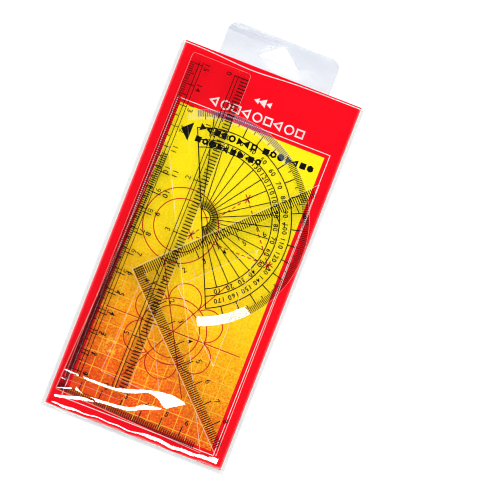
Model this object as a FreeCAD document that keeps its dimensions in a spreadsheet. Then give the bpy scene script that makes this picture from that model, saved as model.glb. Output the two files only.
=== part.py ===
import FreeCAD, Part
import math
import os
import Sketcher

# A flat packet of clear drawing instruments, lying face up: the film pouch, its hang tab, the printed
# card and four instruments, each in a layer of its own so that it can slide out of the open top end.
# +X is to the right across the face, +Y runs up to the hang tab, +Z rises from the surface it lies on.
# The origin is the centre of the outline on that surface. Millimetres.

doc = FreeCAD.newDocument("DrawingSet")
sheet = doc.addObject("Spreadsheet::Sheet", "Sizes")

sizes = {
    # hang tab and its adhesive
    "tab_width": 54.0,
    "tab_above": 16.2,
    "tab_below": 17.0,
    "tab_thick": 0.3,
    "tab_corner": 4.5,
    "hole_base": 20.4,
    "hole_rise": 8.6,
    "hole_above": 5.2,
    "hole_corner": 1.2,
    "glue_width": 50.0,
    "glue_length": 14.0,
    "glue_thick": 0.1,
    # card
    "card_width": 85.8,
    "card_length": 177.4,
    "card_thick": 0.4,
    "card_y": -7.15,
    # pouch film: half width and lower end of the pillow, measured from the card's centre
    "film_thick": 0.15,
    "weld_width": 1.3,
    "pillow_side": 43.3,
    "pillow_end": 89.3,
    "mouth_back": 0.9,
    "wall_rise": 1.9,
    "wall_lean": 0.15,
    "shoulder_lean": 3.6,
    # clearances in the stack and the thickness of the flat plates
    "card_gap": 0.1,
    "layer_gap": 0.15,
    "roof_gap": 0.9,
    "plate_thick": 1.0,
    # ruler, then its place and turn on the card
    "ruler_width": 28.6,
    "ruler_length": 160.0,
    "ruler_thick": 1.5,
    "ruler_edge": 0.6,
    "ruler_bevel": 4.8,
    "ruler_corner": 1.5,
    "ruler_x": -24.1,
    "ruler_y": 4.7,
    "ruler_turn": -0.35,
    # protractor
    "arc_radius": 49.5,
    "arc_edge": 0.45,
    "arc_bevel": 4.5,
    "arc_margin": 4.2,
    "protractor_x": -7.1,
    "protractor_y": 15.4,
    "protractor_turn": 23.85,
    # set squares
    "leg_even": 94.0,
    "leg_short": 72.5,
    "leg_long": 125.6,
    "square_border": 15.9,
    "edge_break": 0.3,
    "even_x": -28.2,
    "even_y": -17.6,
    "even_turn": -44.6,
    "long_x": -40.8,
    "long_y": -81.2,
    "long_turn": -2.76,
}
for row, (alias, value) in enumerate(sizes.items(), start=1):
    sheet.set(f"A{row}", alias)
    sheet.set(f"B{row}", str(value))
    sheet.setAlias(f"B{row}", alias)
doc.recompute()

# The heights of the stack, from the surface up: tab, adhesive, back film, card, then the instruments.
glueZ = "Sizes.tab_thick"
backZ = glueZ + " + Sizes.glue_thick"
weldZ = backZ + " + Sizes.film_thick"
cardZ = weldZ + " + Sizes.card_gap"
protractorZ = cardZ + " + Sizes.card_thick + Sizes.layer_gap"
square60Z = protractorZ + " + Sizes.plate_thick + Sizes.layer_gap"
rulerZ = square60Z + " + Sizes.plate_thick + Sizes.layer_gap"
square45Z = rulerZ + " + Sizes.ruler_thick + Sizes.layer_gap"
roofZ = square45Z + " + Sizes.plate_thick + Sizes.roof_gap"
cardTopY = "Sizes.card_y + Sizes.card_length / 2"
pieces = {}


def vec(x, y, z=0.0):
    return FreeCAD.Vector(x, y, z)


def make_body(label):
    body = doc.addObject("PartDesign::Body", label)
    body.Label = label
    pieces[label] = body
    return body


def place(body, x, y, z, turn="0"):
    """Put a body where the expressions say, turned about Z by degrees."""
    body.Placement = FreeCAD.Placement(vec(0, 0, 0), FreeCAD.Rotation(vec(0, 0, 1), 90))
    body.setExpression("Placement.Base.x", x)
    body.setExpression("Placement.Base.y", y)
    body.setExpression("Placement.Base.z", z)
    body.setExpression("Placement.Rotation.Angle", turn)


def make_sketch(body, name, role):
    sketch = body.newObject("Sketcher::SketchObject", name)
    plane = next(f for f in body.Origin.OriginFeatures if f.Role == role)
    sketch.AttachmentSupport = [(plane, "")]
    sketch.MapMode = "FlatFace"
    return sketch


def add_outline(sketch, points):
    """Closed run of straight lines through the points, joined end to end."""
    first = sketch.GeometryCount
    count = len(points)
    for i, (x, y) in enumerate(points):
        nextX, nextY = points[(i + 1) % count]
        sketch.addGeometry(Part.LineSegment(vec(x, y), vec(nextX, nextY)), False)
    for i in range(count):
        sketch.addConstraint(Sketcher.Constraint("Coincident", first + i, 2, first + (i + 1) % count, 1))
    return first


def fix_distance(sketch, kind, where, value, expression):
    """Dimension in a sketch, driven by the sizes sheet."""
    index = sketch.addConstraint(Sketcher.Constraint(kind, *where, value))
    sketch.setExpression(f"Constraints[{index}]", expression)


def pad_sketch(body, sketch, expression, reverse=False):
    pad = body.newObject("PartDesign::Pad", sketch.Name + "Pad")
    pad.Profile = sketch
    pad.setExpression("Length", expression)
    pad.Reversed = reverse
    doc.recompute()
    return pad


def upright_edges(shape, keep):
    """Names of the edges parallel to Z whose place passes the test."""
    names = []
    for i, edge in enumerate(shape.Edges, start=1):
        ends = [v.Point for v in edge.Vertexes]
        if len(ends) == 2 and abs(ends[0].x - ends[1].x) + abs(ends[0].y - ends[1].y) < 1e-6:
            if keep(ends[0]):
                names.append(f"Edge{i}")
    return names


def top_edges(shape, level):
    """Names of the edges that lie wholly at one height."""
    names = []
    for i, edge in enumerate(shape.Edges, start=1):
        if all(abs(v.Point.z - level) < 1e-6 for v in edge.Vertexes):
            names.append(f"Edge{i}")
    return names


def round_edges(body, feature, names, expression):
    fillet = body.newObject("PartDesign::Fillet", feature.Name + "Round")
    fillet.Base = (feature, names)
    fillet.setExpression("Radius", expression)
    doc.recompute()
    return fillet


def break_edges(body, feature, names, expression):
    chamfer = body.newObject("PartDesign::Chamfer", feature.Name + "Break")
    chamfer.Base = (feature, names)
    chamfer.setExpression("Size", expression)
    doc.recompute()
    return chamfer


def pocket_through(body, sketch):
    """Cut a sketch right through the body both ways, and make sure that it took something away."""
    before = body.Shape.Volume
    pocket = body.newObject("PartDesign::Pocket", sketch.Name + "Cut")
    pocket.Profile = sketch
    pocket.Type = "ThroughAll"
    pocket.Midplane = True
    doc.recompute()
    assert body.Shape.Volume < before - 0.1, sketch.Name + " cut nothing"
    return pocket


def rectangle(sketch, width, length, widthCell, lengthCell):
    """Rectangle centred on the sketch's origin."""
    first = add_outline(
        sketch,
        [(x * width / 2, y * length / 2) for x, y in ((-1, -1), (1, -1), (1, 1), (-1, 1))],
    )
    for side, kind in enumerate(("Horizontal", "Vertical", "Horizontal", "Vertical")):
        sketch.addConstraint(Sketcher.Constraint(kind, first + side))
    sketch.addConstraint(Sketcher.Constraint("Symmetric", first, 1, first + 2, 1, -1, 1))
    fix_distance(sketch, "DistanceX", (first, 1, first, 2), width, widthCell)
    fix_distance(sketch, "DistanceY", (first + 1, 1, first + 1, 2), length, lengthCell)


# Card: one plain sheet, printed on its face.
card = make_body("insert_card")
cardSketch = make_sketch(card, "CardOutline", "XY_Plane")
rectangle(cardSketch, sizes["card_width"], sizes["card_length"], "Sizes.card_width", "Sizes.card_length")
pad_sketch(card, cardSketch, "Sizes.card_thick")
place(card, "0", "Sizes.card_y", cardZ)

# Ruler: a flat bar whose two long top edges slope down to the scales.
ruler = make_body("ruler")
rulerSketch = make_sketch(ruler, "RulerOutline", "XY_Plane")
rectangle(rulerSketch, sizes["ruler_width"], sizes["ruler_length"], "Sizes.ruler_width", "Sizes.ruler_length")
rulerPad = pad_sketch(ruler, rulerSketch, "Sizes.ruler_thick")
rulerRound = round_edges(ruler, rulerPad, upright_edges(rulerPad.Shape, lambda p: True), "Sizes.ruler_corner")
for side in (-1, 1):
    bevelSketch = make_sketch(ruler, "RulerBevel" + ("Left" if side < 0 else "Right"), "XZ_Plane")
    outer = side * sizes["ruler_width"] / 2
    inner = outer - side * sizes["ruler_bevel"]
    top = sizes["ruler_thick"]
    low = sizes["ruler_edge"]
    rise = (top - low) / sizes["ruler_bevel"]
    add_outline(bevelSketch, [(inner, top), (outer + side, low - rise), (outer + side, top)])
    fix_distance(bevelSketch, "DistanceY", (-1, 1, 0, 1), top, "Sizes.ruler_thick")
    pocket_through(ruler, bevelSketch)
place(ruler, "Sizes.ruler_x", "Sizes.card_y + Sizes.ruler_y", rulerZ, "Sizes.ruler_turn")

# Protractor: half a disc that carries on a little past the zero line of its scale, with a sloping rim.
protractor = make_body("protractor")
discSketch = make_sketch(protractor, "DiscOutline", "XY_Plane")
radius = sizes["arc_radius"]
margin = sizes["arc_margin"]
past = math.pi / 2 + math.asin(margin / radius)
edgeHalf = math.sqrt(radius**2 - margin**2)
disc = Part.ArcOfCircle(Part.Circle(vec(0, 0), vec(0, 0, 1), radius), -past, past)
discSketch.addGeometry(disc, False)
discSketch.addGeometry(Part.LineSegment(vec(-margin, edgeHalf), vec(-margin, -edgeHalf)), False)
discSketch.addConstraint(Sketcher.Constraint("Coincident", 0, 2, 1, 1))
discSketch.addConstraint(Sketcher.Constraint("Coincident", 1, 2, 0, 1))
discSketch.addConstraint(Sketcher.Constraint("Coincident", 0, 3, -1, 1))
discSketch.addConstraint(Sketcher.Constraint("Vertical", 1))
fix_distance(discSketch, "Radius", (0,), radius, "Sizes.arc_radius")
fix_distance(discSketch, "DistanceX", (1, 1, -1, 1), margin, "Sizes.arc_margin")
pad_sketch(protractor, discSketch, "Sizes.plate_thick")
rimSketch = make_sketch(protractor, "RimBevel", "XZ_Plane")
plateTop = sizes["plate_thick"]
rimFall = (plateTop - sizes["arc_edge"]) / sizes["arc_bevel"]
rimStart = radius - sizes["arc_bevel"]
rimPast = radius + 1
add_outline(rimSketch, [(rimStart, plateTop), (rimPast, sizes["arc_edge"] - rimFall), (rimPast, plateTop)])
fix_distance(rimSketch, "DistanceY", (-1, 1, 0, 1), plateTop, "Sizes.plate_thick")
fix_distance(rimSketch, "DistanceX", (-1, 1, 0, 1), rimStart, "Sizes.arc_radius - Sizes.arc_bevel")
before = protractor.Shape.Volume
rim = protractor.newObject("PartDesign::Groove", "RimGroove")
rim.Profile = rimSketch
rim.ReferenceAxis = (rimSketch, ["V_Axis"])
rim.Angle = 360
doc.recompute()
assert protractor.Shape.Volume < before - 1, "the rim bevel cut nothing"
protractorY = "Sizes.card_y + Sizes.protractor_y"
place(protractor, "Sizes.protractor_x", protractorY, protractorZ, "Sizes.protractor_turn")


def set_square(label, alongName, acrossName):
    """Right triangle with its square corner at the origin, one leg along +X and one along +Y,
    and a window whose sides run parallel to the outline. The names are those of the two legs."""
    along = sizes[alongName]
    across = sizes[acrossName]
    body = make_body(label)
    outline = make_sketch(body, label + "_outline", "XY_Plane")
    first = add_outline(outline, [(0, 0), (along, 0), (0, across)])
    outline.addConstraint(Sketcher.Constraint("Coincident", first, 1, -1, 1))
    outline.addConstraint(Sketcher.Constraint("Horizontal", first))
    outline.addConstraint(Sketcher.Constraint("Vertical", first + 2))
    fix_distance(outline, "DistanceX", (first, 1, first, 2), along, f"Sizes.{alongName}")
    fix_distance(outline, "DistanceY", (first + 2, 2, first + 2, 1), across, f"Sizes.{acrossName}")
    # The window is the outline shrunk until each of its sides stands in from the outline by the border.
    border = sizes["square_border"]
    inRadius = (along + across - math.hypot(along, across)) / 2
    shrink = 1 - border / inRadius
    legs = f"Sizes.{alongName} + Sizes.{acrossName}"
    slope = f"sqrt(pow(Sizes.{alongName}; 2) + pow(Sizes.{acrossName}; 2))"
    window = add_outline(
        outline,
        [(border, border), (border + along * shrink, border), (border, border + across * shrink)],
    )
    outline.addConstraint(Sketcher.Constraint("Horizontal", window))
    outline.addConstraint(Sketcher.Constraint("Vertical", window + 2))
    outline.addConstraint(Sketcher.Constraint("Parallel", window + 1, first + 1))
    fix_distance(outline, "DistanceX", (-1, 1, window, 1), border, "Sizes.square_border")
    fix_distance(outline, "DistanceY", (-1, 1, window, 1), border, "Sizes.square_border")
    windowLeg = f"Sizes.{alongName} * (1 - 2 * Sizes.square_border / ({legs} - {slope}))"
    fix_distance(outline, "DistanceX", (window, 1, window, 2), along * shrink, windowLeg)
    plate = pad_sketch(body, outline, "Sizes.plate_thick")
    break_edges(body, plate, top_edges(plate.Shape, sizes["plate_thick"]), "Sizes.edge_break")
    return body


square60 = set_square("set_square_60", "leg_short", "leg_long")
place(square60, "Sizes.long_x", "Sizes.card_y + Sizes.long_y", square60Z, "Sizes.long_turn")
square45 = set_square("set_square_45", "leg_even", "leg_even")
place(square45, "Sizes.even_x", "Sizes.card_y + Sizes.even_y", square45Z, "Sizes.even_turn")

# Hang tab: a sheet with rounded corners and a rounded triangular hole, half of it behind the pouch.
tab = make_body("hang_tab")
tabSketch = make_sketch(tab, "TabOutline", "XY_Plane")
half = sizes["tab_width"] / 2
foot = -sizes["tab_below"]
head = sizes["tab_above"]
tabFirst = add_outline(tabSketch, [(-half, foot), (half, foot), (half, head), (-half, head)])
for side, kind in enumerate(("Vertical", "Horizontal", "Vertical"), start=1):
    tabSketch.addConstraint(Sketcher.Constraint(kind, tabFirst + side))
tabSketch.addConstraint(Sketcher.Constraint("Symmetric", tabFirst, 1, tabFirst, 2, -2))
fix_distance(tabSketch, "DistanceX", (tabFirst, 1, tabFirst, 2), 2 * half, "Sizes.tab_width")
fix_distance(tabSketch, "DistanceY", (tabFirst, 1, -1, 1), -foot, "Sizes.tab_below")
fix_distance(tabSketch, "DistanceY", (-1, 1, tabFirst + 1, 2), head, "Sizes.tab_above")
tabPad = pad_sketch(tab, tabSketch, "Sizes.tab_thick")
tabRound = round_edges(tab, tabPad, upright_edges(tabPad.Shape, lambda p: True), "Sizes.tab_corner")
holeSketch = make_sketch(tab, "HangHole", "XY_Plane")
holeLow = sizes["hole_above"]
holeHalf = sizes["hole_base"] / 2
apex = holeLow + sizes["hole_rise"]
holeFirst = add_outline(holeSketch, [(-holeHalf, holeLow), (holeHalf, holeLow), (0, apex)])
holeSketch.addConstraint(Sketcher.Constraint("Symmetric", holeFirst, 1, holeFirst, 2, -2))
holeSketch.addConstraint(Sketcher.Constraint("PointOnObject", holeFirst + 1, 2, -2))
fix_distance(holeSketch, "DistanceX", (holeFirst, 1, holeFirst, 2), sizes["hole_base"], "Sizes.hole_base")
fix_distance(holeSketch, "DistanceY", (-1, 1, holeFirst, 1), holeLow, "Sizes.hole_above")
fix_distance(holeSketch, "DistanceY", (holeFirst, 1, holeFirst + 1, 2), sizes["hole_rise"], "Sizes.hole_rise")
holeCut = pocket_through(tab, holeSketch)
insideHole = upright_edges(holeCut.Shape, lambda p: holeLow - 0.1 < p.y < apex + 0.1)
round_edges(tab, holeCut, insideHole, "Sizes.hole_corner")
place(tab, "0", cardTopY, "0")

# Adhesive strip between the tab's foot and the back film.
glue = make_body("tab_adhesive")
glueSketch = make_sketch(glue, "GlueOutline", "XY_Plane")
rectangle(glueSketch, sizes["glue_width"], sizes["glue_length"], "Sizes.glue_width", "Sizes.glue_length")
pad_sketch(glue, glueSketch, "Sizes.glue_thick")
place(glue, "0", cardTopY + " - Sizes.tab_below / 2", glueZ)


def block_between(name, low, high):
    """Plain block between two corners, each a list of expressions."""
    block = doc.addObject("Part::Box", name)
    for side, axis, start, end in zip(("Length", "Width", "Height"), "xyz", low, high):
        block.setExpression(side, f"({end}) - ({start})")
        block.setExpression(f"Placement.Base.{axis}", start)
    return block


# The pouch is two sheets of film, welded together along both sides and the bottom.
filmX = "Sizes.pillow_side + Sizes.weld_width"
filmLowY = "Sizes.card_y - Sizes.pillow_end - Sizes.weld_width"
mouthY = cardTopY + " - Sizes.mouth_back"
filmTopZ = weldZ + " + Sizes.film_thick"
pieces["pouch_back_film"] = block_between(
    "pouch_back_film", [f"-({filmX})", filmLowY, backZ], [filmX, cardTopY, weldZ]
)


def tapered(name, inset, low, high, lowLean, highLean, past):
    """Block that narrows upwards on both sides and at the bottom end, and stays square at the mouth.
    A wedge narrows along its own Y, so it is tipped up into place. All lengths are expressions."""
    wedge = doc.addObject("Part::Wedge", name)
    mouth = f"-({mouthY}) - ({past})"
    wedge.setExpression("Ymin", low)
    wedge.setExpression("Ymax", high)
    for lean, mark in ((lowLean, ""), (highLean, "2")):
        side = f"Sizes.pillow_side - ({inset}) - ({lean})"
        wedge.setExpression(f"X{mark}min", f"-({side})")
        wedge.setExpression(f"X{mark}max", side)
        wedge.setExpression(f"Z{mark}min", mouth)
        wedge.setExpression(f"Z{mark}max", f"Sizes.pillow_end - Sizes.card_y - ({inset}) - ({lean})")
    wedge.Placement = FreeCAD.Placement(vec(0, 0, 0), FreeCAD.Rotation(vec(1, 0, 0), 90))
    return wedge


def pillow(name, inset, low, drop, past):
    """Steep wall with a sloping shoulder on top of it, inset from the outside of the film."""
    wallTop = f"{weldZ} + Sizes.wall_rise - ({drop}) / 2"
    roof = f"{roofZ} + Sizes.film_thick - ({drop})"
    wallLean = "Sizes.wall_lean"
    roofLean = "Sizes.wall_lean + Sizes.shoulder_lean"
    wall = tapered(name + "_wall", inset, low, wallTop, "0", wallLean, past)
    shoulder = tapered(name + "_shoulder", inset, wallTop, roof, wallLean, roofLean, past)
    both = doc.addObject("Part::MultiFuse", name)
    both.Shapes = [wall, shoulder]
    return both


flange = block_between("weld_flange", [f"-({filmX})", filmLowY, weldZ], [filmX, mouthY, filmTopZ])
outside = pillow("film_outside", "0", weldZ, "0", "0")
inside = pillow("film_inside", "Sizes.film_thick", backZ, "Sizes.film_thick", "Sizes.weld_width")
filmSkin = doc.addObject("Part::MultiFuse", "film_skin")
filmSkin.Shapes = [flange, outside]
frontFilm = doc.addObject("Part::Cut", "pouch_front_film")
frontFilm.Base = filmSkin
frontFilm.Tool = inside
pieces["pouch_front_film"] = frontFilm

doc.recompute()
for thing in doc.Objects:
    bad = [word for word in thing.State if word in ("Invalid", "Error")]
    assert not bad, f"{thing.Label} failed: {thing.State}"
for label, thing in pieces.items():
    shape = thing.Shape
    assert not shape.isNull() and shape.isValid(), label + " has no sound shape"
    assert len(shape.Solids) == 1, f"{label} has {len(shape.Solids)} solids"

os.makedirs("parts", exist_ok=True)
whole = FreeCAD.BoundBox()
for label, thing in pieces.items():
    thing.Label = label
    thing.Shape.exportStep(f"parts/{label}.step")
    box = thing.Shape.BoundBox
    whole.add(box)
    print(
        f"{label:18s} x {box.XMin:8.2f} {box.XMax:8.2f}  y {box.YMin:8.2f} {box.YMax:8.2f}"
        f"  z {box.ZMin:6.2f} {box.ZMax:6.2f}  volume {thing.Shape.Volume:9.1f}"
    )
print(f"whole: {whole}")
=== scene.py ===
import math
import bmesh
import bpy
from mathutils import Matrix, Vector, noise


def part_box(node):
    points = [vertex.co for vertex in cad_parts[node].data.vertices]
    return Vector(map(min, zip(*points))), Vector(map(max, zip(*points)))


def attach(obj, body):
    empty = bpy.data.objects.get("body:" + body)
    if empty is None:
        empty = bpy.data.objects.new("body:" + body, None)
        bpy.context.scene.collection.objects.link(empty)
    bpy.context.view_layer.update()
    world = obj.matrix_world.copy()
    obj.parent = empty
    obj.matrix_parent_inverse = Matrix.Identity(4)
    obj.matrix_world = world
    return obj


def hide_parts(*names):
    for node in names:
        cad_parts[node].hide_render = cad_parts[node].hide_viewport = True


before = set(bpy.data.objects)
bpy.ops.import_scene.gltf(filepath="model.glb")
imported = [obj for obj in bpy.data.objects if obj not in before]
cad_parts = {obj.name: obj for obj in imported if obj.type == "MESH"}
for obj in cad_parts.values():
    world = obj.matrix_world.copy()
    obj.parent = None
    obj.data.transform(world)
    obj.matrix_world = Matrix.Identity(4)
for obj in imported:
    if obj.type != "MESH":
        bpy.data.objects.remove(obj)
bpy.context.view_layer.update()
print("frame loaded")

# Pieces are shaped in millimetres about their own middle, then seated on the frame in metres.
toMetres = 0.001


def boxOf(node):
    low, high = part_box(node)
    return low / toMetres, high / toMetres


def deselect():
    if bpy.context.mode != "OBJECT":
        bpy.ops.object.mode_set(mode="OBJECT")
    bpy.ops.object.select_all(action="DESELECT")


def pick(thing):
    deselect()
    thing.select_set(True)
    bpy.context.view_layer.objects.active = thing
    return thing


def start(kind, name, **given):
    deselect()
    getattr(bpy.ops.mesh, "primitive_" + kind + "_add")(**given)
    thing = bpy.context.active_object
    thing.name = name
    bpy.ops.object.transform_apply(location=True, rotation=True, scale=True)
    return thing


def shape(thing, kind, test, *steps):
    # select what passes the test in edit mode, then run the steps on it
    pick(thing)
    bpy.ops.object.mode_set(mode="EDIT")
    bpy.ops.mesh.select_mode(type=kind)
    bpy.ops.mesh.select_all(action="DESELECT")
    mesh = bmesh.from_edit_mesh(thing.data)
    mesh.normal_update()
    for item in {"VERT": mesh.verts, "EDGE": mesh.edges, "FACE": mesh.faces}[kind]:
        if test(item):
            item.select_set(True)
    mesh.select_flush_mode()
    bmesh.update_edit_mesh(thing.data)
    for step in steps:
        step()
    bpy.ops.object.mode_set(mode="OBJECT")


def modify(thing, kind, **values):
    pick(thing)
    extra = thing.modifiers.new(kind.title(), kind)
    for name, value in values.items():
        setattr(extra, name, value)
    bpy.ops.object.modifier_apply(modifier=extra.name)


def soften(thing, width, angle):
    # round every edge sharper than the angle
    modify(
        thing,
        "BEVEL",
        width=width,
        segments=2,
        limit_method="ANGLE",
        angle_limit=math.radians(angle),
    )


def joined(name, things):
    deselect()
    for thing in things:
        thing.select_set(True)
    bpy.context.view_layer.objects.active = things[0]
    if len(things) > 1:
        bpy.ops.object.join()
    things[0].name = name
    things[0].data.name = name
    return things[0]


def seat(thing, x, y, z, turn=0.0):
    pick(thing)
    thing.location = Vector((x, y, z)) * toMetres
    thing.rotation_euler = (0, 0, math.radians(turn))
    thing.scale = (toMetres,) * 3
    bpy.ops.object.transform_apply(location=True, rotation=True, scale=True)
    return thing


def dress(thing, material, body, smooth=None):
    pick(thing)
    if smooth:
        bpy.ops.object.shade_smooth_by_angle(angle=math.radians(smooth))
    thing.data.materials.clear()
    thing.data.materials.append(material)
    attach(thing, body)
    return thing


def everything(item):
    return True


def pointing(heading):
    # a step of one in a direction given in degrees from X
    return Vector((math.cos(math.radians(heading)), math.sin(math.radians(heading))))


def upright(edge):
    a, b = (v.co for v in edge.verts)
    return (a - b).to_2d().length < 1e-4


def atHeight(z):
    return lambda edge: all(abs(v.co.z - z) < 1e-4 for v in edge.verts)


def bevelEdges(offset, segments):
    return lambda: bpy.ops.mesh.bevel(offset=offset, segments=segments, affect="EDGES")


# One value in a material. Python's own operators on it add Math nodes.
class Wire:
    def __init__(self, tree, socket=None):
        self.tree = tree
        self.socket = socket

    def add(self, kind, settings=None, inputs=None, output=0):
        node = self.tree.nodes.new(kind)
        for name, value in (settings or {}).items():
            if name == "stops":
                while len(node.color_ramp.elements) < len(value):
                    node.color_ramp.elements.new(0.5)
                for stop, (place, colour) in zip(node.color_ramp.elements, value):
                    stop.position = place
                    stop.color = (*colour, 1)
            else:
                setattr(node, name, value)
        for name, value in (inputs or {}).items():
            socket = node.inputs[name]
            if isinstance(value, Wire):
                self.tree.links.new(value.socket, socket)
            else:
                socket.default_value = value
        return Wire(self.tree, node.outputs[output] if node.outputs else None)

    def maths(self, operation, *others):
        values = dict(enumerate((self, *others)))
        return self.add("ShaderNodeMath", {"operation": operation}, values)

    def flipped(self, operation, other):
        return self.add("ShaderNodeMath", {"operation": operation}, {0: other, 1: self})

    def __add__(self, other):
        return self.maths("ADD", other)

    __radd__ = __add__

    def __mul__(self, other):
        return self.maths("MULTIPLY", other)

    __rmul__ = __mul__

    def __sub__(self, other):
        return self.maths("SUBTRACT", other)

    def __rsub__(self, other):
        return self.flipped("SUBTRACT", other)

    def __truediv__(self, other):
        return self.maths("DIVIDE", other)

    def __pow__(self, other):
        return self.maths("POWER", other)

    def __abs__(self):
        return self.maths("ABSOLUTE")

    def fraction(self):
        return self.maths("FRACT")

    def rise(self, low, high, top=1.0):
        settings = {"interpolation_type": "SMOOTHSTEP"}
        span = {"Value": self, "From Min": low, "From Max": high, "To Min": 0.0, "To Max": top}
        return self.add("ShaderNodeMapRange", settings, span)

    def within(self, low, high, soft):
        return self.rise(low - soft, low + soft) * (1 - self.rise(high - soft, high + soft))

    def noise(self, scale, detail=2.0, rough=0.5):
        return self.add(
            "ShaderNodeTexNoise",
            None,
            {"Vector": self, "Scale": scale, "Detail": detail, "Roughness": rough},
        )

    def blend(self, first, second):
        return self.add("ShaderNodeMix", {"data_type": "RGBA"}, {0: self, 6: first, 7: second}, 2)

    def axis(self, index):
        return self.add("ShaderNodeSeparateXYZ", None, {0: self}, index)


def newMaterial(name):
    material = bpy.data.materials.new(name)
    material.use_nodes = True
    material.node_tree.nodes.clear()
    return material, Wire(material.node_tree)


def objectPlace(base):
    return base.add("ShaderNodeTexCoord", None, None, "Object")


def closeMaterial(base, shader):
    base.add("ShaderNodeOutputMaterial", None, {"Surface": shader})


def bumped(base, height, strength, distance):
    return base.add(
        "ShaderNodeBump", None, {"Height": height, "Strength": strength, "Distance": distance}
    )


# Light passes a clear sheet except for the share that its surface mirrors. Its steep cut edges
# get a painted highlight in a pale colour, and a face that slopes a little shows more of the
# lights by its rim shine.
def clearMaterial(
    name,
    mirror,
    hazeAndEdgeHighlightColour,
    edgeHighlightShare=0.0,
    bodyShare=0.001,
    ripple=0.04,
    rippleScale=240.0,
    rimShine=0.0,
):
    material, base = newMaterial(name)
    place = objectPlace(base)
    facing = base.add("ShaderNodeLayerWeight", None, {"Blend": 0.5}, "Facing")
    shadowRay = base.add("ShaderNodeLightPath", None, None, "Is Shadow Ray")
    steep = abs(base.add("ShaderNodeNewGeometry", None, None, "Normal").axis(2))
    # the steep cut edges, where the pale colour is a painted highlight
    edge = 1 - steep.rise(0.72, 0.95)
    waves = place.noise(rippleScale, 3.0)
    smudge = place.noise(60.0, 4.0, 0.6).rise(0.45, 0.75)
    surface = bumped(base, waves, ripple, 0.0004)
    clear = base.add("ShaderNodeBsdfTransparent", None, {"Color": (0.997, 0.998, 0.997, 1)})
    pale = base.add(
        "ShaderNodeBsdfPrincipled",
        None,
        {"Base Color": hazeAndEdgeHighlightColour, "Roughness": 0.3 + smudge * 0.2, "Normal": surface},
    )
    shine = base.add(
        "ShaderNodeBsdfPrincipled",
        None,
        {
            "Base Color": (0.97, 0.98, 1.0, 1),
            "Metallic": 1.0,
            "Roughness": 0.02 + smudge * 0.02,
            "Normal": surface,
        },
    )
    share = edge * edgeHighlightShare + bodyShare * (0.5 + smudge * 0.5)
    shown = share * (1 - shadowRay * 0.7)
    lit = base.add("ShaderNodeMixShader", None, {0: shown, 1: clear, 2: pale})
    sloping = 1 - steep.rise(0.993, 0.9985)
    mirrored = (mirror + rimShine * sloping + (0.5 - mirror) * facing ** 5.0) * (1 - shadowRay)
    closeMaterial(base, base.add("ShaderNodeMixShader", None, {0: mirrored, 1: lit, 2: shine}))
    return material


def inkMaterial(name, colour, worn, roughness, cover=1.0):
    material, base = newMaterial(name)
    place = objectPlace(base)
    grain = place.noise(2600.0, 2.0)
    patches = place.noise(240.0, 3.0)
    tone = patches.rise(0.35, 0.7).blend((*colour, 1), (*worn, 1))
    shader = base.add(
        "ShaderNodeBsdfPrincipled",
        None,
        {
            "Base Color": tone,
            "Roughness": roughness + grain * 0.15,
            "Specular IOR Level": 0.1,
            "Alpha": cover,
            "Normal": bumped(base, grain, 0.15, 0.00002),
        },
    )
    closeMaterial(base, shader)
    return material


clearPlastic = clearMaterial(
    "clearPlastic",
    mirror=0.035,
    hazeAndEdgeHighlightColour=(0.97, 0.93, 0.80, 1),
    edgeHighlightShare=0.8,
    bodyShare=0.0008,
    ripple=0.03,
    rippleScale=160.0,
    rimShine=0.07,
)
clearFilm = clearMaterial("clearFilm", mirror=0.055, hazeAndEdgeHighlightColour=(0.95, 0.96, 0.98, 1), ripple=0.008)
backFilm = clearMaterial("backFilm", mirror=0.02, hazeAndEdgeHighlightColour=(0.95, 0.96, 0.98, 1))
# the mouth bead's pale body is partly whitened cut film and partly a painted highlight along the
# mouth
filmEdge = clearMaterial(
    "filmEdge",
    mirror=0.04,
    hazeAndEdgeHighlightColour=(0.98, 0.93, 0.94, 1),
    edgeHighlightShare=0.5,
    bodyShare=0.75,
    ripple=0.05,
)
blackInk = inkMaterial("blackInk", (0.002, 0.002, 0.003), (0.006, 0.005, 0.006), 0.35)
thinInk = inkMaterial("thinInk", (0.004, 0.003, 0.003), (0.010, 0.008, 0.008), 0.35, 0.72)
printBlack = inkMaterial("printBlack", (0.002, 0.002, 0.002), (0.005, 0.004, 0.004), 0.4)
printWhite = inkMaterial("printWhite", (0.90, 0.80, 0.80), (0.80, 0.66, 0.66), 0.4)
printRed = inkMaterial("printRed", (0.50, 0.022, 0.008), (0.62, 0.04, 0.012), 0.4)


# Ink is laid as flat shapes on one plane and given its thickness at the end.
def inkBar(x, y, across, along, turn=0.0):
    bar = start("plane", "bar", size=1)
    bar.data.transform(Matrix.Diagonal((across, along, 1, 1)))
    bar.data.transform(Matrix.Rotation(math.radians(turn), 4, "Z"))
    bar.data.transform(Matrix.Translation((x, y, 0)))
    return bar


def inkRow(x, y, across, along, count, stepX, stepY):
    bar = inkBar(x, y, across, along)
    offset = (stepX, stepY, 0)
    modify(
        bar,
        "ARRAY",
        count=count,
        use_relative_offset=False,
        use_constant_offset=True,
        constant_offset_displace=offset,
    )
    return bar


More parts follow.
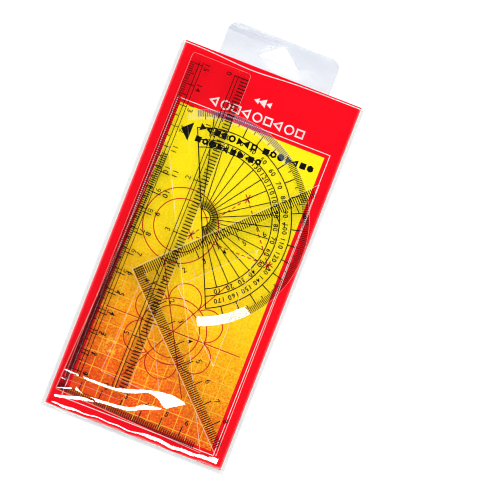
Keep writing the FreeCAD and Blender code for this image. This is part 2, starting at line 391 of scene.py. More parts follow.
def inkRing(x, y, radius, line, first=0.0, last=360.0, step=3.0):
    # a short bar spun round the middle, from one angle to the other
    ring = start("plane", "ring", size=1)
    shape(ring, "VERT", lambda v: v.co.y > 0, lambda: bpy.ops.mesh.delete(type="VERT"))
    ring.data.transform(Matrix.Diagonal((line, 1, 1, 1)))
    ring.data.transform(Matrix.Translation((radius, 0.5, 0)))
    ring.data.transform(Matrix.Rotation(math.radians(first), 4, "Z"))
    turns = max(3, round((last - first) / step))
    shape(
        ring,
        "EDGE",
        everything,
        lambda: bpy.ops.mesh.spin(
            steps=turns, angle=math.radians(first - last), center=(0, 0, 0), axis=(0, 0, 1)
        ),
        lambda: bpy.ops.mesh.select_all(action="SELECT"),
        lambda: bpy.ops.mesh.remove_doubles(threshold=0.001),
        lambda: bpy.ops.mesh.normals_make_consistent(inside=False),
    )
    ring.data.transform(Matrix.Translation((x, y, 0)))
    return ring


def inkFan(inner, outer, line, reach, step):
    # bars that point at the middle, one every step degrees, as far as reach on both sides of X
    ray = inkBar((inner + outer) / 2, 0, outer - inner, line)
    ray.data.transform(Matrix.Rotation(math.radians(-reach), 4, "Z"))
    count = round(2 * reach / step)
    sweep = math.radians(-2 * reach)
    shape(
        ray,
        "FACE",
        everything,
        lambda: bpy.ops.mesh.spin(
            steps=count, dupli=True, angle=sweep, center=(0, 0, 0), axis=(0, 0, 1)
        ),
    )
    return ray


digitShapes = {}
digitPitch = 0.6  # of the numeral's height


def digitShape(sign):
    if sign not in digitShapes:
        deselect()
        bpy.ops.object.text_add()
        text = bpy.context.active_object
        text.data.body = sign
        text.data.align_x = "CENTER"
        text.data.align_y = "CENTER"
        text.data.resolution_u = 3
        text.data.offset = 0.012
        bpy.ops.object.convert(target="MESH")
        digitShapes[sign] = bpy.context.active_object.data.copy()
        bpy.data.objects.remove(bpy.context.active_object)
    return digitShapes[sign].copy()


def inkNumber(value, size, x, y, turn):
    signs = str(value)
    made = []
    for i, sign in enumerate(signs):
        mesh = digitShape(sign)
        along = (i - (len(signs) - 1) / 2) * digitPitch
        mesh.transform(Matrix.Translation((along, 0, 0)))
        mesh.transform(Matrix.Diagonal((size, size, 1, 1)))
        mesh.transform(Matrix.Rotation(math.radians(turn), 4, "Z"))
        mesh.transform(Matrix.Translation((x, y, 0)))
        digit = bpy.data.objects.new("digit", mesh)
        bpy.context.scene.collection.objects.link(digit)
        made.append(digit)
    return made


def inkPiece(name, parts, thick, up=False):
    ink = joined(name, parts)
    shape(ink, "FACE", lambda f: f.normal.z < 0, lambda: bpy.ops.mesh.flip_normals())
    modify(ink, "SOLIDIFY", thickness=thick, offset=1.0 if up else -1.0)
    return ink


inkThick = 0.03

# Ruler
ruler = {
    "width": 28.6,
    "length": 160.0,
    "thick": 1.5,
    "edge": 0.6,
    "bevel": 4.8,
    "corner": 1.5,
    "turn": -0.35,
    "soften": 0.14,
    "centimetres": 15,
    "zeroY": -74.6,
    "line": 0.42,
    "inches": 6,
    "inchZeroY": 76.7,
    "inchLine": 0.6,
    "numeral": 3.5,
    "numeralIn": 8.3,
    "inchNumeralIn": 9.6,
    "longLine": 0.36,
    "longLineEnd": 3.0,
    "longLinesIn": ((4.6, 6.3), (6.9, 5.25)),
}
# A longer mark is laid as what it adds to a shorter one: the millimetres from one to the next, or
# how many there are in an inch, then how far in from the ruler's edge it starts and ends.
millimetreMarks = ((1, 0.35, 2.6), (5, 2.6, 4.1), (10, 4.1, 6.3))
inchMarks = ((16, 0.2, 3.8), (2, 3.8, 5.3), (1, 5.3, 7.0))
inch = 25.4


def buildRuler():
    low, high = boxOf("ruler")
    middle = (low + high) / 2
    r = ruler
    size = (r["width"], r["length"], r["thick"])
    blank = start("cube", "ruler_blank", size=1, location=(0, 0, r["thick"] / 2), scale=size)
    shape(blank, "EDGE", upright, bevelEdges(r["corner"], 5))
    for side in (-1, 1):
        crease = Vector((side * (r["width"] / 2 - r["bevel"]), 0, r["thick"]))
        slope = Vector((side * (r["thick"] - r["edge"]), 0, r["bevel"])).normalized()
        shape(
            blank,
            "FACE",
            everything,
            lambda: bpy.ops.mesh.bisect(
                plane_co=crease, plane_no=slope, use_fill=True, clear_outer=True, threshold=0.0001
            ),
        )
    soften(blank, r["soften"], 25)
    seat(blank, middle.x, middle.y, low.z, r["turn"])
    dress(blank, clearPlastic, "ruler")
    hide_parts("ruler")

    left = -r["width"] / 2
    right = r["width"] / 2
    ink = []
    # millimetres down the left edge
    for step, near, far in millimetreMarks:
        count = r["centimetres"] * 10 // step + 1
        across = far - near
        ink.append(inkRow(left + (near + far) / 2, r["zeroY"], across, r["line"], count, 0, step))
    for n in range(r["centimetres"] + 1):
        y = r["zeroY"] + 10 * n
        ink += inkNumber(n, r["numeral"], left + r["numeralIn"], y, -90)
    # sixteenths of an inch down the right edge, counted from the other end
    for parts, near, far in inchMarks:
        count = r["inches"] * parts + 1
        across = far - near
        line = r["inchLine"] if parts == 16 else r["line"]
        middleX = right - (near + far) / 2
        ink.append(inkRow(middleX, r["inchZeroY"], across, line, count, 0, -inch / parts))
    for n in range(r["inches"] + 1):
        y = r["inchZeroY"] - inch * n
        ink += inkNumber(n, r["numeral"], right - r["inchNumeralIn"], y, 90)
    # the long lines by both bevels, partly print and partly painted shade at the bevel creases
    fromLeft, fromRight = r["longLinesIn"]
    for x in [left + gap for gap in fromLeft] + [right - gap for gap in fromRight]:
        ink.append(inkBar(x, 0, r["longLine"], r["length"] - 2 * r["longLineEnd"]))
    scale = inkPiece("ruler_scale", ink, inkThick)
    seat(scale, middle.x, middle.y, low.z, r["turn"])
    dress(scale, thinInk, "ruler")
    print("ruler done")


# Protractor
protractor = {
    "radius": 49.5,
    "thick": 1.0,
    "edge": 0.45,
    "bevel": 4.5,
    "margin": 4.2,
    "soften": 0.12,
    "turn": 23.85,
    "rings": (41.3, 35.8, 32.4),
    "eye": 4.2,
    "line": 0.42,
    "rayLine": 0.36,
    "tickStart": 0.35,
    "tickEnd": 3.2,
    "tickLine": 0.32,
    "fiveEnd": 4.6,
    "fineRayStart": 5.1,
    "fineRays": ((9.4, 0.12, 85, 10), (7.8, 0.1, 87.5, 5)),
    "zeroLine": 0.44,
    "eyeLine": 0.4,
    "eyeBar": (2.0, 3.4, 0.32),
    "outerNumbers": 38.4,
    "innerNumbers": 34.1,
    "numeral": 3.1,
}


def buildProtractor():
    p = protractor
    low, high = boxOf("protractor")
    radius = p["radius"]
    middleX = high.x - radius
    middleY = high.y - radius
    blank = start(
        "cylinder",
        "protractor_blank",
        vertices=240,
        radius=radius,
        depth=p["thick"],
        location=(0, 0, p["thick"] / 2),
    )
    fall = (0, 0, p["edge"] - p["thick"])
    shape(
        blank, "FACE", lambda f: f.normal.z > 0.9, lambda: bpy.ops.mesh.inset(thickness=p["bevel"])
    )
    shape(
        blank,
        "VERT",
        lambda v: v.co.z > p["thick"] - 0.01 and v.co.to_2d().length > radius - 0.5,
        lambda: bpy.ops.transform.translate(value=fall),
    )
    shape(
        blank,
        "FACE",
        everything,
        lambda: bpy.ops.mesh.bisect(
            plane_co=(-p["margin"], 0, 0),
            plane_no=(1, 0, 0),
            use_fill=True,
            clear_inner=True,
            threshold=0.0001,
        ),
    )
    soften(blank, p["soften"], 40)
    seat(blank, middleX, middleY, low.z, p["turn"])
    dress(blank, clearPlastic, "protractor", 5)
    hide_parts("protractor")

    outerRing = p["rings"][0]
    innerRing = p["rings"][-1]
    tickEnd = radius - p["tickEnd"]
    ink = [
        inkFan(tickEnd, radius - p["tickStart"], p["tickLine"], 89, 1),
        inkFan(outerRing, tickEnd, p["line"], 80, 10),
        inkFan(radius - p["fiveEnd"], tickEnd, p["rayLine"], 85, 10),
        inkFan(p["eye"], innerRing, p["rayLine"], 80, 10),
    ]
    for end, line, reach, step in p["fineRays"]:
        ink.append(inkFan(p["fineRayStart"], end, line, reach, step))
    # the line through zero, and a short bar inside the eye
    barX, across, line = p["eyeBar"]
    ink.append(inkBar(p["zeroLine"] / 2, 0, p["zeroLine"], 2 * outerRing))
    ink.append(inkBar(barX, 0, across, line))
    ink.append(inkRing(0, 0, p["eye"], p["eyeLine"], -90, 90, 6))
    for ring in p["rings"]:
        ink.append(inkRing(0, 0, ring, p["line"], -90, 90, 2))
    for degrees in range(10, 180, 10):
        along = pointing(90 - degrees)
        for distance, value in ((p["outerNumbers"], degrees), (p["innerNumbers"], 180 - degrees)):
            spot = along * distance
            ink += inkNumber(value, p["numeral"], spot.x, spot.y, -degrees)
    scale = inkPiece("protractor_scale", ink, inkThick)
    seat(scale, middleX, middleY, low.z, p["turn"])
    dress(scale, blackInk, "protractor")
    print("protractor done")


# Set squares: the square corner is at the start, one leg along X and one along Y. Pairs are for
# these two legs, and a mark is the centimetre line that adds to a tick.
setSquares = {
    "45": {
        "node": "set_square_45",
        "body": "square_45",
        "along": 94.0,
        "across": 94.0,
        "turn": -44.6,
        "ticks": (90, 90),
        "marks": (8, 8),
        "tickEnd": 4.7,
        "markEnd": 8.4,
        "numeralIn": 10.6,
        "numeralTurn": (0, 90),
    },
    "60": {
        "node": "set_square_60",
        "body": "square_60",
        "along": 72.5,
        "across": 125.6,
        "turn": -2.76,
        "ticks": (68, 118),
        "marks": (6, 11),
        "tickEnd": 3.4,
        "markEnd": 7.8,
        "numeralIn": 9.8,
        "numeralTurn": (0, -90),
    },
}
squarePlate = {
    "thick": 1.0,
    "border": 15.9,
    "lip": 0.62,
    "legLip": 0.25,
    "footLip": 0.15,
    "corner": 0.7,
    "line": 0.44,
    "tickStart": 0.5,
    "numeral": 3.5,
    "numeralPast": (1.2, 1.6),
}


def buildSetSquare(kind):
    s = setSquares[kind]
    plate = squarePlate
    low = boxOf(s["node"])[0]
    along = s["along"]
    across = s["across"]
    thick = plate["thick"]
    drop = along * math.sin(math.radians(-s["turn"]))
    cornerX = low.x
    cornerY = low.y + drop
    size = (along, across, thick)
    middle = (along / 2, across / 2, thick / 2)
    blank = start("cube", s["node"] + "_blank", size=1, location=middle, scale=size)
    longSide = Vector((across, along, 0)).normalized()
    shape(
        blank,
        "FACE",
        everything,
        lambda: bpy.ops.mesh.bisect(
            plane_co=(along, 0, 0),
            plane_no=longSide,
            use_fill=True,
            clear_outer=True,
            threshold=0.0001,
        ),
    )
    shape(
        blank,
        "FACE",
        lambda f: abs(f.normal.z) > 0.9,
        lambda: bpy.ops.mesh.inset(thickness=plate["border"]),
        lambda: bpy.ops.mesh.bridge_edge_loops(),
    )
    shape(blank, "EDGE", upright, bevelEdges(plate["corner"], 3))
    isRim = atHeight(thick)

    def isInner(e):
        a, b = (v.co for v in e.verts)
        return isRim(e) and e.calc_face_angle(0) > 0.5 and (a.x + b.x) > 2 and (a.y + b.y) > 2

    shape(blank, "EDGE", isInner, bevelEdges(plate["lip"], 3))
    shape(
        blank,
        "EDGE",
        lambda e: isRim(e) and e.calc_face_angle(0) > 0.5 and not isInner(e),
        bevelEdges(plate["legLip"], 2),
    )
    isFoot = atHeight(0)
    shape(
        blank,
        "EDGE",
        lambda e: isFoot(e) and e.calc_face_angle(0) > 0.5,
        bevelEdges(plate["footLip"], 1),
    )
    seat(blank, cornerX, cornerY, low.z, s["turn"])
    dress(blank, clearPlastic, s["body"])
    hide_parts(s["node"])

    ink = []
    for leg in (0, 1):
        rows = (
            (s["ticks"][leg], 1, plate["tickStart"], s["tickEnd"]),
            (s["marks"][leg], 10, s["tickEnd"], s["markEnd"]),
        )
        for count, step, near, far in rows:
            row = inkRow(step, (near + far) / 2, plate["line"], far - near, count, step, 0)
            if leg:
                # swap X and Y
                row.data.transform(Matrix.Rotation(math.radians(90), 4, "Z"))
                row.data.transform(Matrix.Scale(-1, 4, (1, 0, 0)))
            ink.append(row)
        for n in range(1, s["marks"][leg] + 1):
            spot = (10 * n + plate["numeralPast"][leg], s["numeralIn"])
            x, y = spot[::-1] if leg else spot
            ink += inkNumber(n, plate["numeral"], x, y, s["numeralTurn"][leg])
    scale = inkPiece(s["node"] + "_scale", ink, inkThick)
    seat(scale, cornerX, cornerY, low.z, s["turn"])
    dress(scale, blackInk, s["body"])
    print(s["node"], "done")


# Card and its print, in millimetres from the card's middle
card = {
    "panelX": (-35.2, 35.4),
    "panelY": (-82.1, 61.3),
    "panelRamp": (
        (0.0, (0.98, 0.83, 0.008)),
        (0.42, (0.97, 0.74, 0.008)),
        (0.66, (0.97, 0.50, 0.008)),
        (0.86, (0.93, 0.19, 0.010)),
        (1.0, (0.84, 0.07, 0.010)),
    ),
    "speckle": (0.55, 0.09, 0.008, 1),
    "red": (0.88, 0.0018, 0.011, 1),
    "deepRed": (0.80, 0.004, 0.02, 1),
    "gridX": 6.45,
    "gridY": 6.9,
    "gridLine": 0.26,
    "gridColour": (0.99, 0.62, 0.05, 1),
    "blot": (-24.0, -54.0),
    "inkLift": 0.02,
    "frameX": (-37.0, 37.4),
    "frameY": (-83.7, 63.2),
    "frameLine": 0.34,
    "headX": -20.6,
    "headY": 67.4,
    "headStep": 5.2,
    "headCount": 9,
    "headLine": 0.72,
    "headShapes": ((5.6, 3, 90), (4.6, 40, 0), (5.7, 4, 45)),
    "crownY": 74.6,
    "crown": ((-2.6, 3.2, 90), (0.4, 4.6, -30), (3.4, 3.2, 90)),
    "bigTriangle": (-27.4, 50.4, 10.4),
    "bigTriangleSquash": 0.62,
    "labelX": -21.4,
    "labelRows": ((54.2, 3.6, (8, 7)), (48.5, 3.4, (7, 2))),
    "labelShapes": ((3, 90), (40, 0), (4, 45), (3, -90), (6, 0)),
    "labelLine": 0.85,
    "redLine": 0.5,
    "target": (-14.6, 8.8),
    "targetRings": (17.35, 12.3),
    "flower": (-0.2, -37.5),
    "flowerRings": (15.3, 12.1),
    "petal": 7.5,
    "petalSweep": 104,
    "flowerLevel": (-32.9, 32.4),
    "flowerLeans": (61.5, 118.5),
    "flowerReach": (31, 33),
    "dashed": ((-8.7, 6.5), (9.6, 31.2), (29.2, 6.1)),
    "dash": 1.7,
    "dashGap": 1.1,
    "star": 4.6,
    "starTurns": (45, 135, 80),
}


def cardMaterial(middle):
    material, base = newMaterial("printedCard")
    place = objectPlace(base)
    c = card
    x = place.axis(0) / toMetres - middle.x
    y = place.axis(1) / toMetres - middle.y
    # the panel runs from yellow at the top to orange at the bottom left, with a coarse grain
    cloud = place.noise(55.0, 4.0, 0.6)
    grain = place.noise(900.0, 2.0, 0.7)
    panelBottom, panelTop = c["panelY"]
    down = (panelTop - y) / (panelTop - panelBottom)
    depth = down + x * -0.0028 + (cloud - 0.5) * 0.30 + (grain - 0.5) * (0.3 + down * 0.5)
    panelColour = base.add("ShaderNodeValToRGB", {"stops": c["panelRamp"]}, {"Fac": depth})
    speck = place.noise(1500.0, 3.0, 0.7).rise(0.5, 0.72, 0.55) * down.rise(0.15, 0.9)
    panelColour = speck.blend(panelColour, c["speckle"])
    # a fine grid that fades in further down
    halfLine = c["gridLine"] / 2
    columns = abs((x / c["gridX"]).fraction() - 0.5) * c["gridX"]
    rows = abs((y / c["gridY"]).fraction() - 0.5) * c["gridY"]
    columnLine = 1 - columns.rise(halfLine, halfLine * 2)
    rowLine = 1 - rows.rise(halfLine, halfLine * 2)
    grid = columnLine.maths("MAXIMUM", rowLine) * down.rise(0.32, 0.62, 0.75)
    panelColour = grid.blend(panelColour, c["gridColour"])
    # a pale blot sits low on the left
    blotX, blotY = c["blot"]
    away = ((x - blotX) ** 2.0 + (y - blotY) ** 2.0) ** 0.5
    blot = (1 - away.rise(2.2, 6.5)) * place.noise(420.0, 3.0, 0.7).rise(0.48, 0.56)
    panelColour = (blot * 0.7).blend(panelColour, c["gridColour"])
    inPanel = x.within(*c["panelX"], 0.05) * y.within(*c["panelY"], 0.05)
    red = (grain.rise(0.4, 0.8) * 0.25).blend(c["red"], c["deepRed"])
    face = inPanel.blend(red, panelColour)
    up = base.add("ShaderNodeNewGeometry", None, None, "Normal").axis(2)
    fibre = place.noise(700.0, 5.0, 0.7)
    board = fibre.rise(0.3, 0.7).blend((0.62, 0.60, 0.56, 1), (0.72, 0.70, 0.66, 1))
    colour = up.rise(0.4, 0.6).blend(board, face)
    relief = fibre * (1 - up.rise(0.4, 0.6)) + grain * 0.2
    shader = base.add(
        "ShaderNodeBsdfPrincipled",
        None,
        {
            "Base Color": colour,
            "Roughness": 0.75 - up.rise(0.4, 0.6) * 0.4 + grain * 0.1,
            "Specular IOR Level": 0.06,
            "Normal": bumped(base, relief, 0.2, 0.00005),
        },
    )
    closeMaterial(base, shader)
    return material


def inkPolygon(x, y, size, sides, turn=0.0, hollow=0.0):
    disc = start("circle", "mark", vertices=sides, radius=size / 2, fill_type="NGON")
    if hollow:
        shape(
            disc,
            "FACE",
            everything,
            lambda: bpy.ops.mesh.inset(thickness=hollow),
            lambda: bpy.ops.mesh.delete(type="FACE"),
        )
    disc.data.transform(Matrix.Rotation(math.radians(turn), 4, "Z"))
    disc.data.transform(Matrix.Translation((x, y, 0)))
    return disc


def inkLine(a, b, line):
    run = Vector(b) - Vector(a)
    middle = (Vector(a) + Vector(b)) / 2
    return inkBar(middle.x, middle.y, run.length, line, math.degrees(math.atan2(run.y, run.x)))


def inkDashes(a, b, line, dash, gap):
    run = Vector(b) - Vector(a)
    step = run.normalized()
    pitch = dash + gap
    dashes = []
    for i in range(int(run.length / pitch)):
        begin = Vector(a) + step * i * pitch
        dashes.append(inkLine(begin, begin + step * dash, line))
    return dashes


def buildCard():
    low, high = boxOf("insert_card")
    middle = (low + high) / 2
    c = card
    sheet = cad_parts["insert_card"]
    sheet.data.materials.clear()
    sheet.data.materials.append(cardMaterial(middle))

    def seatPrint(name, parts, material):
        ink = inkPiece(name, parts, c["inkLift"], up=True)
        seat(ink, middle.x, middle.y, high.z)
        dress(ink, material, "card")

    left, right = c["frameX"]
    bottom, top = c["frameY"]
    line = c["frameLine"]
    white = [
        inkBar((left + right) / 2, top, right - left + line, line),
        inkBar((left + right) / 2, bottom, right - left + line, line),
        inkBar(left, (top + bottom) / 2, line, top - bottom - line),
        inkBar(right, (top + bottom) / 2, line, top - bottom - line),
    ]
    # a plain row of drafting shapes heads the card, with three triangles above it
    for i in range(c["headCount"]):
        size, sides, turn = c["headShapes"][i % 3]
        x = c["headX"] + i * c["headStep"]
        white.append(inkPolygon(x, c["headY"], size, sides, turn, c["headLine"]))
    for x, size, turn in c["crown"]:
        white.append(inkPolygon(x, c["crownY"], size, 3, turn))
    seatPrint("card_white_print", white, printWhite)

    # two rows of plain shapes stand for the label, beside a narrow triangle
    x, y, size = c["bigTriangle"]
    big = inkPolygon(0, 0, size, 3, 90)
    big.data.transform(Matrix.Diagonal((c["bigTriangleSquash"], 1, 1, 1)))
    big.data.transform(Matrix.Translation((x, y, 0)))
    black = [big]
    for y, size, words in c["labelRows"]:
        x = c["labelX"]
        for word in words:
            for i in range(word):
                sides, turn = c["labelShapes"][(i * 2 + word) % 5]
                reach = size * (1.12 if sides in (3, 4) else 0.92)
                hollow = c["labelLine"] if i % 3 == 1 else 0.0
                black.append(inkPolygon(x, y, reach, sides, turn, hollow))
                x += size
            x += size * 0.6
    seatPrint("card_black_print", black, printBlack)

    # a target, a six-petalled flower with lines through its heart, and a dashed triangle
    wide = c["redLine"]
    red = [inkRing(*c["target"], ring, wide) for ring in c["targetRings"]]
    red += [inkRing(*c["flower"], ring, wide) for ring in c["flowerRings"]]
    heart = Vector(c["flower"])
    sweep = c["petalSweep"]
    for heading in range(30, 390, 60):
        x, y = heart + pointing(heading) * c["flowerRings"][0]
        red.append(inkRing(x, y, c["petal"], wide, heading - sweep, heading + sweep, 5))
    levelLeft, levelRight = c["flowerLevel"]
    red.append(inkLine((levelLeft, heart.y), (levelRight, heart.y), wide))
    reachDown, reachUp = c["flowerReach"]
    for lean in c["flowerLeans"]:
        along = pointing(lean)
        red.append(inkLine(heart - along * reachDown, heart + along * reachUp, wide))
    corners = c["dashed"]
    for a, b in zip(corners, corners[1:] + corners[:1]):
        red += inkDashes(a, b, wide, c["dash"], c["dashGap"])
    for x, y in corners:
        for turn in c["starTurns"]:
            red.append(inkBar(x, y, c["star"], wide, turn))
    seatPrint("card_red_print", red, printRed)
    print("card done")


# Front film: a pillow over the instruments, loose at the bottom left where it wrinkles
film = {
    "thick": 0.12,
    "columns": 190,
    "rows": 236,
    "roof": 6.34,
    "weldHalf": 43.35,
    "sideSharp": 40.0,
    "endSharp": 190.0,
    "mouthDip": 1.4,
    "bead": 0.2,
    "beadLift": 0.12,
    "beadIn": 0.05,
    "beadSteps": 120,
    "beadReach": 0.985,
    "foldIn": 2.0,
    "cardClear": 0.1,
}
# Each wrinkle is a crest that runs across the film. Its stations give x, then the crest's y and the
# foot's y from the card's middle. The side that faces the bottom falls evenly from crest to foot,
# and the other side falls slowly.
wrinkles = (
    (
        (-41.0, -70.6, -72.4),
        (-29.0, -70.8, -72.8),
        (-15.5, -70.4, -72.5),
        (-10, -68.9, -71.7),
        (-1.8, -66.2, -69.3),
        (3.0, -65.0, -69.3),
        (8.0, -64.3, -72.1),
        (12.8, -64.6, -69.5),
        (17.8, -65.8, -66.3),
    ),
    (
        (-32.0, -76.2, -79.6),
        (-28.3, -78.2, -80.7),
        (-16.9, -77.9, -79.9),
        (-5.5, -76.2, -78.7),
        (-0.9, -73.0, -76.4),
        (2.7, -72.4, -75.0),
        (5.4, -71.8, -74.0),
        (8.4, -71.6, -72.5),
    ),
    ((-41.0, -74.4, -75.9), (-36.5, -75.4, -77.1), (-34.2, -76.2, -78.6)),
    ((-40.6, -79.9, -81.6), (-35.0, -78.0, -80.2), (-34.0, -77.6, -79.8)),
    (
        (-41.0, -83.5, -85.2),
        (-33.8, -81.7, -83.7),
        (-28.3, -80.0, -82.2),
        (-22.5, -79.6, -80.9),
    ),
    ((-41.3, 85.2, 84.0), (-33.8, 87.2, 86.0)),
)
wrinkleSlope = 0.095
crestEase = 0.035
wrinkleEnd = 1.5


def softStep(value):
    value = min(1.0, max(0.0, value))
    return value * value * (3 - 2 * value)


def flowing(stations, x, column):
    # a smooth curve through the stations, read at x
    i = 0
    while i < len(stations) - 2 and x > stations[i + 1][0]:
        i += 1
    before, a, b, after = (stations[max(0, min(len(stations) - 1, i + k))] for k in (-1, 0, 1, 2))
    gap = b[0] - a[0]
    t = min(1.0, max(0.0, (x - a[0]) / gap))
    leave = (b[column] - before[column]) / (b[0] - before[0]) * gap
    arrive = (after[column] - a[column]) / (after[0] - a[0]) * gap
    return (
        (2 * t**3 - 3 * t**2 + 1) * a[column]
        + (t**3 - 2 * t**2 + t) * leave
        + (3 * t**2 - 2 * t**3) * b[column]
        + (t**3 - t**2) * arrive
    )


def creaseHeight(y, top, foot):
    # height at y of a rounded crest, which adds nothing well outside it
    crest = wrinkleSlope * (top - foot)
    back = 0.8 + 2.0 * (top - foot)
    front = wrinkleSlope * (y - foot)
    behind = (top + back - y) * crest / back
    if min(front, behind) < -0.3:
        return 0.0
    both = math.exp(-front / crestEase) + math.exp(-behind / crestEase)
    return crestEase * math.log(1 + 1 / both)


def wrinkleHeight(x, y):
    # the highest of the wrinkles, each fading out past both its ends
    highest = 0.0
    for wrinkle in wrinkles:
        enter = softStep((x - wrinkle[0][0] + wrinkleEnd) / wrinkleEnd)
        leave = softStep((wrinkle[-1][0] + wrinkleEnd - x) / wrinkleEnd)
        if enter * leave == 0:
            continue
        top, foot = (flowing(wrinkle, x, column) for column in (1, 2))
        highest = max(highest, enter * leave * creaseHeight(y, top, foot))
    return highest


def mound(x, middle, width):
    # a smooth hump, one high at the middle
    return math.exp(-(((x - middle) / width) ** 2))


def mouthEdge(x, highEnd):
    # the mouth's cut edge dips a little, left of the middle
    return highEnd - film["mouthDip"] * mound(x, -10, 16)


def bottomSeam(x, lowEnd):
    # the inner edge of the bottom weld wavers, and it rises a little on the right
    seam = lowEnd + 1.3 + 0.9 * mound(x, -9, 12) + 0.6 * softStep((x - 32) / 7)
    return seam + 0.3 * math.sin(x * 0.24) + 0.2 * math.sin(x * 0.61) + 0.45 * softStep(x / 8)


def filmHeight(x, y, cardLow, cardHigh, lowEnd, weldZ):
    f = film
    cardMiddleY = (cardLow.y + cardHigh.y) / 2
    seamY = bottomSeam(x, lowEnd)
    across = min(1.0, abs(x) / f["weldHalf"])
    along = min(1.0, max(0.0, cardMiddleY - y) / (cardMiddleY - seamY))
    fill = max(0.0, 1 - across ** f["sideSharp"] - along ** f["endSharp"]) ** (1 / 3)
    # a fold follows the bottom seam, widest on the right
    foldFoot = seamY + f["foldIn"]
    foldWidth = 0.4 + 0.9 * mound(x, -32, 5) + 1.2 * softStep((x + 1) / 8) + softStep((x - 35) / 3)
    fold = creaseHeight(y, foldFoot + foldWidth, foldFoot)
    roof = f["roof"] + max(wrinkleHeight(x, y - cardMiddleY), fold)
    roof += 0.10 * noise.noise(Vector((x * 0.045, y * 0.03, 3.1)))
    # the film clears the card's lower edge before it comes down to the seam
    overCard = (cardHigh.z + f["cardClear"] - weldZ) * softStep((y - cardLow.y + 0.5) / 0.4)
    return weldZ + max((roof - weldZ) * fill, overCard)


def buildFilm():
    f = film
    low, high = boxOf("pouch_front_film")
    cardLow, cardHigh = boxOf("insert_card")
    weldZ = low.z + f["thick"] / 2
    sheet = start(
        "grid", "front_film", x_subdivisions=f["columns"], y_subdivisions=f["rows"], size=2
    )
    for v in sheet.data.vertices:
        # closer rows and columns where the film bends down to its welds
        s, t = v.co.x, (v.co.y + 1) / 2
        x = high.x * (0.5 * s + 0.5 * math.sin(s * math.pi / 2))
        y = low.y + (mouthEdge(x, high.y) - low.y) * (0.3 + 0.7 * t * t) * t
        v.co = (x, y, filmHeight(x, y, cardLow, cardHigh, low.y, weldZ))
    sheet.data.update()
    modify(sheet, "SOLIDIFY", thickness=f["thick"], offset=0.0)
    # the mouth's cut edge is a fine rounded bead
    path = []
    for i in range(f["beadSteps"] + 1):
        x = high.x * (2 * i / f["beadSteps"] - 1) * f["beadReach"]
        y = mouthEdge(x, high.y)
        height = filmHeight(x, y, cardLow, cardHigh, low.y, weldZ) + f["beadLift"]
        path.append(Vector((x, y - f["beadIn"], height)))
    curve = bpy.data.curves.new("mouth_bead", "CURVE")
    curve.dimensions = "3D"
    curve.bevel_depth = f["bead"]
    curve.bevel_resolution = 2
    curve.use_fill_caps = True
    spline = curve.splines.new("POLY")
    spline.points.add(len(path) - 1)
    for point, spot in zip(spline.points, path):
        point.co = (*spot, 1)
    bead = bpy.data.objects.new("mouth_bead", curve)
    bpy.context.scene.collection.objects.link(bead)
    pick(bead)
    bpy.ops.object.convert(target="MESH")
    bead = bpy.context.active_object
    bead.data.materials.append(filmEdge)
    sheet.data.materials.append(clearFilm)
    sheet = joined("front_film", [sheet, bead])
    seat(sheet, 0, 0, 0)
    bpy.ops.object.shade_smooth_by_angle(angle=math.radians(40))
    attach(sheet, "pouch")
    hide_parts("pouch_front_film")
    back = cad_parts["pouch_back_film"]
    back.data.materials.clear()
    back.data.materials.append(backFilm)
    print("film done")


# Hang tab
hangTab = {
    "corner": 4.5,
    "holeBase": 20.4,
    "holeRise": 8.6,
    "holeAbove": 5.2,
    "holeCorner": 1.2,
    "soften": 0.08,
}


def milkyMaterial():
    material, base = newMaterial("milkyPlastic")
    place = objectPlace(base)
    facing = base.add("ShaderNodeLayerWeight", None, {"Blend": 0.5}, "Facing")
    shadowRay = base.add("ShaderNodeLightPath", None, None, "Is Shadow Ray")
    steep = abs(base.add("ShaderNodeNewGeometry", None, None, "Normal").axis(2))
    edge = 1 - steep.rise(0.72, 0.95)
    cloud = place.noise(45.0, 3.0)
    grain = place.noise(1500.0, 2.0)
    y = place.axis(1) / toMetres
    x = place.axis(0) / toMetres
    top = boxOf("hang_tab")[1].y
    # a soft crease crosses the left half near the top, with a painted highlight along it
    crease = y.within(top - 4.2, top - 2.4, 0.7) * (1 - x.rise(-6.0, 4.0))
    surface = bumped(base, cloud + grain * 0.15, 0.12, 0.0006)
    clear = base.add("ShaderNodeBsdfTransparent", None, {"Color": (0.975, 0.98, 0.985, 1)})
    tone = cloud.rise(0.35, 0.7).blend((0.56, 0.59, 0.66, 1), (0.64, 0.66, 0.72, 1))
    milk = base.add(
        "ShaderNodeBsdfPrincipled",
        None,
        {"Base Color": tone, "Roughness": 0.3 + grain * 0.1, "Normal": surface},
    )
    shine = base.add(
        "ShaderNodeBsdfPrincipled",
        None,
        {
            "Base Color": (0.97, 0.98, 1.0, 1),
            "Metallic": 1.0,
            "Roughness": 0.12 + grain * 0.05,
            "Normal": surface,
        },
    )
    higher = y.rise(top - 15.0, top - 2.0, 0.1)
    # steep edges and the crease get more milk, a painted highlight
    share = 0.16 + higher + cloud * 0.08 + edge * 0.3 + crease * 0.12
    shown = share * (1 - shadowRay * 0.5)
    lit = base.add("ShaderNodeMixShader", None, {0: shown, 1: clear, 2: milk})
    mirrored = (0.02 + 0.7 * facing ** 5.0) * (1 - shadowRay)
    closeMaterial(base, base.add("ShaderNodeMixShader", None, {0: mirrored, 1: lit, 2: shine}))
    return material


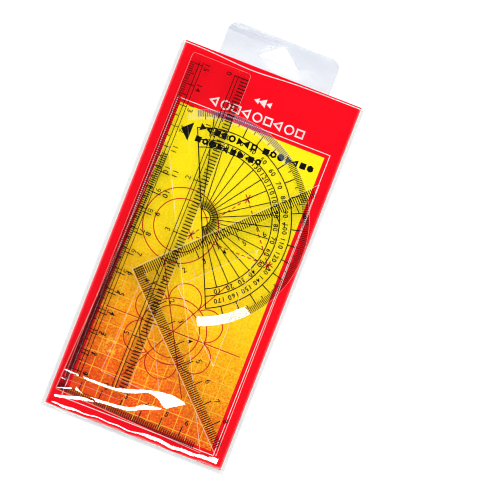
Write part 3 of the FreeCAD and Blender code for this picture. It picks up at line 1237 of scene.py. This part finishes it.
def buildTab():
    t = hangTab
    low, high = boxOf("hang_tab")
    cardTop = boxOf("insert_card")[1].y
    wide, tall, thick = high - low
    middle = (low + high) / 2
    tab = start("cube", "hang_tab_sheet", size=1, scale=(wide, tall, thick))
    shape(tab, "EDGE", upright, bevelEdges(t["corner"], 8))
    # the cutter is a prism with rounded corners, from a three-sided cylinder stretched to the hole
    cutter = start("cylinder", "hole_cutter", vertices=3, radius=1, depth=4)
    baseY = cardTop + t["holeAbove"] - middle.y
    halfSide = math.cos(math.radians(30))
    for v in cutter.data.vertices:
        v.co.x *= t["holeBase"] / 2 / halfSide
        v.co.y = baseY + (v.co.y + 0.5) / 1.5 * t["holeRise"]
    shape(cutter, "EDGE", upright, bevelEdges(t["holeCorner"], 6))
    modify(tab, "BOOLEAN", operation="DIFFERENCE", object=cutter, solver="EXACT")
    bpy.data.objects.remove(cutter)
    soften(tab, t["soften"], 50)
    seat(tab, middle.x, middle.y, middle.z)
    dress(tab, milkyMaterial(), "pouch", 40)
    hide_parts("hang_tab")
    print("hang tab done")


def adhesiveMaterial():
    material, base = newMaterial("adhesive")
    place = objectPlace(base)
    blots = place.noise(220.0, 4.0, 0.65)
    clear = base.add("ShaderNodeBsdfTransparent", None, {"Color": (0.97, 0.965, 0.94, 1)})
    glue = base.add(
        "ShaderNodeBsdfPrincipled",
        None,
        {"Base Color": (0.86, 0.85, 0.8, 1), "Roughness": 0.35 + blots * 0.3},
    )
    share = 0.25 + blots.rise(0.4, 0.7, 0.25)
    closeMaterial(base, base.add("ShaderNodeMixShader", None, {0: share, 1: clear, 2: glue}))
    return material


buildCard()
buildProtractor()
buildSetSquare("60")
buildRuler()
buildSetSquare("45")
buildFilm()
buildTab()
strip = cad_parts["tab_adhesive"]
strip.data.materials.clear()
strip.data.materials.append(adhesiveMaterial())

# Floor, light and camera
studio = {
    "floor": (0.9, 0.9, 0.9, 1),
    "cameraHeight": 2.4,
    "viewWidth": 0.2283,
    "aim": (0.0190, 0.0027),
    "roll": 21.3,
    "overhead": {
        "keyBox": ((0.03, -0.60, 2.2), (1.0, 0.32), 12, (1.0, 0.995, 0.98)),
        "blueBox": ((0.0, 0.56, 2.2), (0.7, 0.2), 0.7, (0.5, 0.6, 1.0)),
    },
    "around": {
        "leftBox": (-1.6, 0.3, 1.3),
        "rightBox": (1.6, 0.1, 1.3),
        "topBox": (0.1, 1.7, 1.3),
    },
}


def buildFloor():
    floor = start("plane", "floor", size=6, location=(0, 0, -0.0001))
    material, base = newMaterial("floor")
    place = objectPlace(base)
    speck = place.noise(40.0, 3.0)
    tone = speck.blend(studio["floor"], (0.92, 0.92, 0.92, 1))
    matt = {"Base Color": tone, "Roughness": 0.7, "Specular IOR Level": 0.1}
    closeMaterial(base, base.add("ShaderNodeBsdfPrincipled", None, matt))
    floor.data.materials.append(material)


def softbox(name, place, sizes, power, colour):
    light = bpy.data.lights.new(name, "AREA")
    light.shape = "RECTANGLE"
    light.size, light.size_y = sizes
    light.energy = power
    light.color = colour
    lamp = bpy.data.objects.new(name, light)
    bpy.context.scene.collection.objects.link(lamp)
    aim = (-Vector(place)).to_track_quat("-Z", "Y").to_matrix().to_4x4()
    lamp.matrix_world = Matrix.Translation(place) @ aim
    lamp.visible_camera = False
    return lamp


def buildWorld():
    world = bpy.data.worlds.new("studio")
    bpy.context.scene.world = world
    world.use_nodes = True
    world.node_tree.nodes.clear()
    base = Wire(world.node_tree)
    up = base.add("ShaderNodeTexCoord", None, None, "Generated").axis(2)
    # dark overhead, so that flat gloss stays clear, and pale towards the horizon
    stops = [
        (0.0, (1.0, 1.0, 1.0)),
        (0.25, (0.9, 0.9, 0.9)),
        (0.45, (0.22, 0.23, 0.25)),
        (0.8, (0.0, 0.0, 0.0)),
    ]
    sky = base.add("ShaderNodeValToRGB", {"stops": stops}, {"Fac": up})
    glow = base.add("ShaderNodeBackground", None, {"Color": sky, "Strength": 0.35})
    base.add("ShaderNodeOutputWorld", None, {"Surface": glow})


def buildCamera():
    data = bpy.data.cameras.new("camera")
    data.sensor_width = 36
    data.lens = data.sensor_width * studio["cameraHeight"] / studio["viewWidth"]
    data.clip_end = 50
    camera = bpy.data.objects.new("camera", data)
    bpy.context.scene.collection.objects.link(camera)
    camera.location = (*studio["aim"], studio["cameraHeight"])
    camera.rotation_euler = (0, 0, math.radians(studio["roll"]))
    bpy.context.scene.camera = camera


buildFloor()
buildWorld()
for name, values in studio["overhead"].items():
    softbox(name, *values)
# the lights around the sides fill the shadows and leave no glints
for name, place in studio["around"].items():
    softbox(name, place, (1.2, 1.2), 24, (1.0, 1.0, 1.0)).visible_glossy = False
buildCamera()
scene = bpy.context.scene
scene.view_settings.view_transform = "Standard"
scene.cycles.transparent_max_bounces = 64
scene.cycles.filter_width = 1.0
print("studio done")
